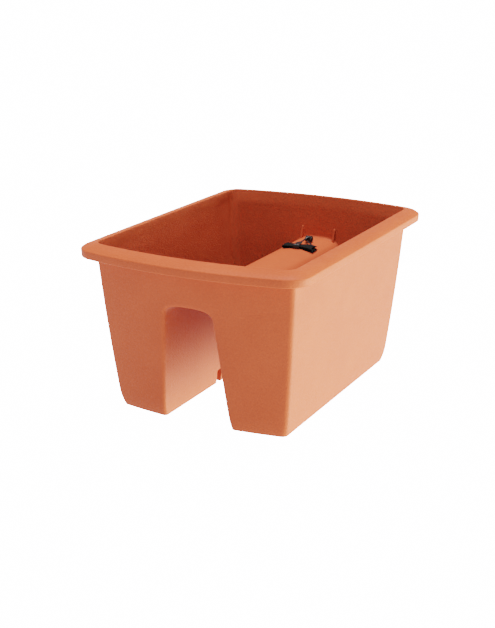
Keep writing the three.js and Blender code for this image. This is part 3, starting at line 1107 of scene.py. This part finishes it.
@dataclass(frozen=True)
class Wick:
    """A felt wick that hangs in the reservoir and lies along the false floor."""

    floor: FalseFloor
    end: End
    width: float = 27.0
    thickness: float = 1.8
    low: float = 4.9
    reach: float = 60.5  # how far it lies along the false floor

    def build(self) -> None:
        """Builds and dresses the wick."""
        lie = self.floor.top + self.floor.touch + self.thickness / 2 + 0.1
        offset = self.floor.slot_offset
        knots = [(0, self.low), (0.25, 20), (-0.2, 35), (0, 47), (0, 54), (1.1, 58.2), (4.2, 59.8), (8, 58)]
        knots += [(11.5, 55.2), (15.5, lie + 0.25), (22, lie), (34, lie + 0.25), (48, lie)]
        knots.append((self.reach, lie + 0.3))
        sign = self.end.value
        path = [np.array((0.0, sign * (offset - y), z)) for y, z in spline(knots, 8)]
        skin = Skin()
        curl = lambda run, v: 0.5 * math.sin(5.2 * run + 1.0) * (2 * v) ** 2 * max(0.0, run - 0.75)
        across = np.array((1.0, 0.0, 0.0))
        length = ribbon(skin, path, across, [self.width] * len(path), self.thickness, curl, 0.25)
        side = self.floor.side
        shift = side.value * self.floor.middle
        skin.points = [(x + shift, y, z) for x, y, z in skin.points]
        tag = f"{side.name.lower()}_{self.end.name.lower()}"
        obj = placed("felt_wick_" + tag, skin.mesh("felt_wick_" + tag, sharp=60), WICK_FELT.material())
        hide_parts("wick_" + tag)
        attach(obj, f"floor_{side.name.lower()}")
        log.info("%s: %.0f by %.0f mm", obj.name, self.width, length)


@dataclass(frozen=True)
class SpareWick:
    """A felt wick folded in two, pinched by its tie, that lies on the ridge."""

    moulding: Moulding
    x: float = 1.3
    y: float = 108.6
    turn: float = math.radians(4)
    half: float = 19.6
    left_width: float = 15.6
    right_width: float = 18.0
    waist: float = 12.0
    felt: float = 1.8
    gap: float = 0.3
    tie_felt: float = 1.1
    tie_widths: Point = (8.6, 2.3, 9.4)  # round the waist, where it is twisted, and in the roll
    # Width and thickness of the thin dark strip of painted shade that lies along a shadow line on the ridge.
    shade_strand_width: float = 1.7
    strand_felt: float = 0.8
    curl: Point = (3.4, 140.2, 4.5)  # the roll at the end of the tie: its place, and its radius

    def ridge(self, x: float) -> float:
        """Height of the ridge's top.

        Args:
            x: A place across the planter.

        Returns:
            The height.
        """
        arch = self.moulding.channel_arch(self.moulding.wall, self.moulding.roof_wall)
        xs, zs = zip(*reversed(arch))
        return float(np.interp(abs(x), xs, zs))

    def width(self, x: float) -> float:
        """Width of the folded wick at a place along it."""
        end = self.left_width if x < 0 else self.right_width
        return mix(self.waist, end, smooth((abs(x) - 2.5) / 13))

    def pinch(self, x: float) -> float:
        """How tightly the tie gathers the wick at a place along it."""
        return math.exp(-((x / 6.5) ** 2))

    def pack(self) -> bpy.types.Object:
        """Builds the folded wick.

        Returns:
            The piece.
        """
        low = self.gap + self.felt / 2
        high = low + self.felt + 0.35
        xs = list(np.linspace(self.half + 0.8, -self.half + 1.5, 30))
        knots = [(x, self.ridge(self.x + x) + low + (0.5 if x > 17 else 0.0)) for x in xs]
        turn, crown = self.ridge(self.x - self.half) + low, self.ridge(0) + high
        knots += [(-self.half + 0.2, mix(turn, crown, 0.2)), (-self.half - 0.3, mix(turn, crown, 0.5))]
        knots += [(-self.half + 0.2, mix(turn, crown, 0.85))]
        droop = lambda x: mix(crown, self.ridge(self.x + x) + high + 0.9, smooth((x - 2) / 15))
        over = lambda x: droop(x) + 0.25 * self.pinch(x)
        knots += [(x, over(x)) for x in np.linspace(-self.half + 1.6, self.half - 0.6, 30)]
        flat = spline(knots, 2)
        path = [np.array((x, 0.0, z)) for x, z in flat]
        widths = [self.width(x) for x, _ in flat]
        runs = [x for x, _ in flat]
        last = len(runs) - 1

        def pleat(run: float, v: float) -> float:
            """The gathers that run out from the tie, and the fanned right end.

            Args:
                run: A share of the strip's length.
                v: A place across the strip.

            Returns:
                How far the felt stands out there.
            """
            x = runs[round(run * last)]
            gather = 0.42 * self.pinch(x * 0.8) * math.cos(2 * math.pi * 2.2 * v)
            fan = 0.55 * smooth((x - 6) / 14) * math.sin(2 * math.pi * 1.3 * v + 0.6)
            return (gather + fan) * (0.35 if run < 0.5 else -1.0)

        skin = Skin()
        length = ribbon(skin, path, np.array((0.0, 1.0, 0.0)), widths, self.felt, pleat, 0.3, 2.6)
        obj = placed("folded_wick", skin.mesh("folded_wick", sharp=60), WICK_FELT.material())
        self.settle(obj)
        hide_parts("spare_wick")
        log.info("%s: up to %.0f by %.0f mm", obj.name, self.right_width, length)
        return obj

    def settle(self, obj: bpy.types.Object) -> None:
        """Turns and moves a piece to where the spare wick lies.

        Args:
            obj: The piece, built round the middle of the planter.
        """
        c, s = math.cos(self.turn), math.sin(self.turn)
        for vert in obj.data.vertices:
            x, y, z = vert.co
            vert.co = (x * c - y * s + self.x * MM, x * s + y * c + self.y * MM, z)

    def tie(self) -> bpy.types.Object:
        """Builds the tie: a strip round the waist and a twisted tail that ends in a roll, with a thin dark
        strip of painted shade that lies along a shadow line on the ridge, from the roll to the wick's right
        end.

        Returns:
            The piece.
        """
        base = self.ridge(0) + self.gap
        over = base + 2 * self.felt + 1.15 + self.tie_felt / 2
        front, back = -self.waist / 2 - 1.0, self.waist / 2 + 1.0
        cx, cy, radius = self.curl[0] - self.x, self.curl[1] - self.y, self.curl[2]
        roll = []
        for k in range(26):
            a = math.pi / 2 - 2 * math.pi * 1.4 * k / 25
            r = radius - self.tie_felt / 2 - 1.7 * k / 25
            roll.append((cx, cy + r * math.cos(a), base + radius + r * math.sin(a)))
        knots = [(-1.0, front - 0.2, base + 0.9), (-1.0, front - 0.5, base + 2.4)]
        knots += [(-1.0, front + 0.5, over - 0.1), (-0.9, front + 2.4, over + 0.35)]
        knots += [(-0.9, 0, over + 0.4), (-0.9, back - 2, over + 0.5)]
        knots += [(-0.8, back + 2, over + 0.3), (0.0, back + 7, over + 0.5), (0.6, cy - 7, over + 1.2)]
        knots += [(mix(0.6, cx, 0.6), cy - 3.4, base + 2 * radius - 1.2), roll[0]]
        path = spline(knots, 6)[:-1] + [np.array(p) for p in roll]
        broad, twisted, rolled = self.tie_widths
        widths = []
        for _, y, _ in path[: len(path) - len(roll)]:
            tail = mix(broad, twisted, smooth((y - back + 3) / 6))
            widths.append(mix(tail, broad, smooth((y - cy + 5) / 5)))
        widths += [mix(broad, rolled, min(1.0, k / 8)) for k in range(len(roll))]

        def crease(run: float, v: float) -> float:
            """The creases along the strip."""
            return 0.16 * math.cos(2 * math.pi * 2.1 * v + 4 * run)

        skin = Skin()
        across = np.array((1.0, 0.0, 0.0))
        length = ribbon(skin, path, across, widths, self.tie_felt, crease, 0.3)
        area = float(np.mean(widths)) * length
        # Painted shade: a thin dark strip laid along a shadow line on the ridge, from the roll to the right
        # end of the folded wick.
        thin = [(cx - 3.8, cy + 0.6, base + 5.0), (cx - 3.0, cy - 2.4, base + 4.4)]
        thin += [(cx + 4.0, cy - 11.5, base + 3.2), (cx + 11.5, cy - 21.0, base + 3.2)]
        thin += [(self.half - 1.6, 3.4, base + 3.7), (self.half - 0.6, 0.6, base + 3.3)]
        shade_strand = spline(thin, 6)
        across = np.array((0.9, 0.43, 0.0))
        spare = ribbon(skin, shade_strand, across, [self.shade_strand_width] * len(shade_strand), self.strand_felt, fray=0.1)
        area += self.shade_strand_width * spare
        obj = placed("wick_tie", skin.mesh("wick_tie", sharp=60), TIE_FELT.material())
        self.settle(obj)
        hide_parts("spare_wick_tie")
        return obj

    def build(self) -> None:
        """Builds and dresses the spare wick and its tie."""
        for obj in (self.pack(), self.tie()):
            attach(obj, "spare")


@dataclass(frozen=True)
class Studio:
    """A white light table under a soft top light. The key light comes up through it from the right."""

    sky_low: float = 1.8  # brightness of the sky at the horizon
    sky_high: float = 0.12  # and overhead
    sky_fall: float = 4.0
    sky_edge: float = -0.012  # where it ends, just below the horizon
    sky_tint: Point = (1.0, 0.96, 0.88)
    table: float = 1.5  # light that the table gives the planter
    table_seen: float = 14.0  # how bright the camera sees the table
    key_angle: float = 60.0  # degrees across, so its shadows are soft
    key_from: Flat = (28.0, 22.0)  # degrees towards the rear from the right, and below the table
    key_strength: float = 13.5
    key_tint: Point = (1.0, 1.12, 0.93)
    top_angle: float = 30.0
    top_from: Point = (0.02, 0.06, 1.0)
    top_strength: float = 7.5
    top_tint: Point = (1.0, 0.95, 0.97)
    camera_at: Point = (0.6462, -1.2418, 0.5443)
    camera_turn: Point = (math.pi / 2 - 0.3145, 0.0015, 0.4898)
    camera_lens: float = 67.75

    def sky(self) -> None:
        """A sky that is brightest at the horizon, and white to the camera."""
        world = bpy.data.worlds.new("sky")
        bpy.context.scene.world = world
        world.use_nodes = True
        nodes = Nodes(world.node_tree)
        where = nodes.add("TexCoord").outputs["Generated"]
        height = nodes.add("SeparateXYZ", {0: where}).outputs["Z"]
        fall = nodes.sum("POWER", nodes.sum("SUBTRACT", 1.0, height), self.sky_fall)
        glow = nodes.sum("MULTIPLY_ADD", fall, self.sky_low, self.sky_high)
        only = nodes.sum("MULTIPLY", nodes.sum("GREATER_THAN", height, self.sky_edge), glow)
        seen = nodes.add("LightPath").outputs["Is Camera Ray"]
        whole = nodes.sum("MULTIPLY_ADD", seen, self.table_seen, only)
        background = world.node_tree.nodes["Background"]
        nodes.feed(background.inputs["Strength"], whole)
        nodes.feed(background.inputs["Color"], (*self.sky_tint, 1.0))

    def table_top(self) -> None:
        """The floor: a pale table that glows softly and hides no light from below."""
        skin = Skin()
        reach = 60000.0
        corners = [(-reach, -reach), (reach, -reach), (reach, reach), (-reach, reach)]
        skin.face([(x, y, -0.2) for x, y in corners], flat=True)
        nodes = Surface("light_table")
        seen = nodes.add("LightPath").outputs["Is Camera Ray"]
        glow = nodes.spread(seen, 0.0, 1.0, (self.table, self.table_seen))
        nodes.inputs["Base Color"].default_value = (0.2, 0.2, 0.2, 1)
        nodes.inputs["Roughness"].default_value = 0.9
        nodes.inputs["Specular IOR Level"].default_value = 0.0
        nodes.inputs["Emission Color"].default_value = (1, 1, 1, 1)
        nodes.feed(nodes.inputs["Emission Strength"], glow)
        floor = placed("floor", skin.mesh("floor"), nodes.material)
        floor.visible_shadow = False

    def lamp(self, name: str, source: Vector, angle: float, strength: float, tint: Point) -> None:
        """A broad, distant lamp.

        Args:
            name: Its name.
            source: The direction that its light comes from.
            angle: Its width in degrees, which softens its shadows.
            strength: The light it gives.
            tint: Its colour.
        """
        light = bpy.data.lights.new(name, "SUN")
        light.angle, light.energy, light.color = math.radians(angle), strength, tint
        obj = bpy.data.objects.new(name, light)
        bpy.context.scene.collection.objects.link(obj)
        obj.rotation_euler = (-source).to_track_quat("-Z", "Y").to_euler()

    def build(self) -> None:
        """Lights the planter and puts the camera in its place."""
        bpy.context.scene.view_settings.view_transform = "Filmic"
        self.sky()
        self.table_top()
        turn, rise = (math.radians(a) for a in self.key_from)
        low = Vector((math.cos(rise) * math.cos(turn), math.cos(rise) * math.sin(turn), -math.sin(rise)))
        self.lamp("key", low, self.key_angle, self.key_strength, self.key_tint)
        self.lamp("top", Vector(self.top_from), self.top_angle, self.top_strength, self.top_tint)
        self.camera()

    def camera(self) -> None:
        """The camera."""
        camera = bpy.data.objects.new("camera", bpy.data.cameras.new("camera"))
        bpy.context.scene.collection.objects.link(camera)
        camera.data.sensor_width, camera.data.lens = 36.0, self.camera_lens
        camera.data.clip_start, camera.data.clip_end = 0.05, 500.0
        camera.location = self.camera_at
        camera.rotation_euler = self.camera_turn
        bpy.context.scene.camera = camera


def main() -> None:
    """Builds the planter and its studio."""
    logging.basicConfig(level=logging.INFO, format="%(name)s: %(message)s")
    Studio().build()
    moulding = Moulding()
    moulding.build()
    for side in Side:
        floor = FalseFloor(moulding, side)
        floor.build()
        for end in End:
            Wick(floor, end).build()
    SpareWick(moulding).build()


if __name__ == "__main__":
    main()
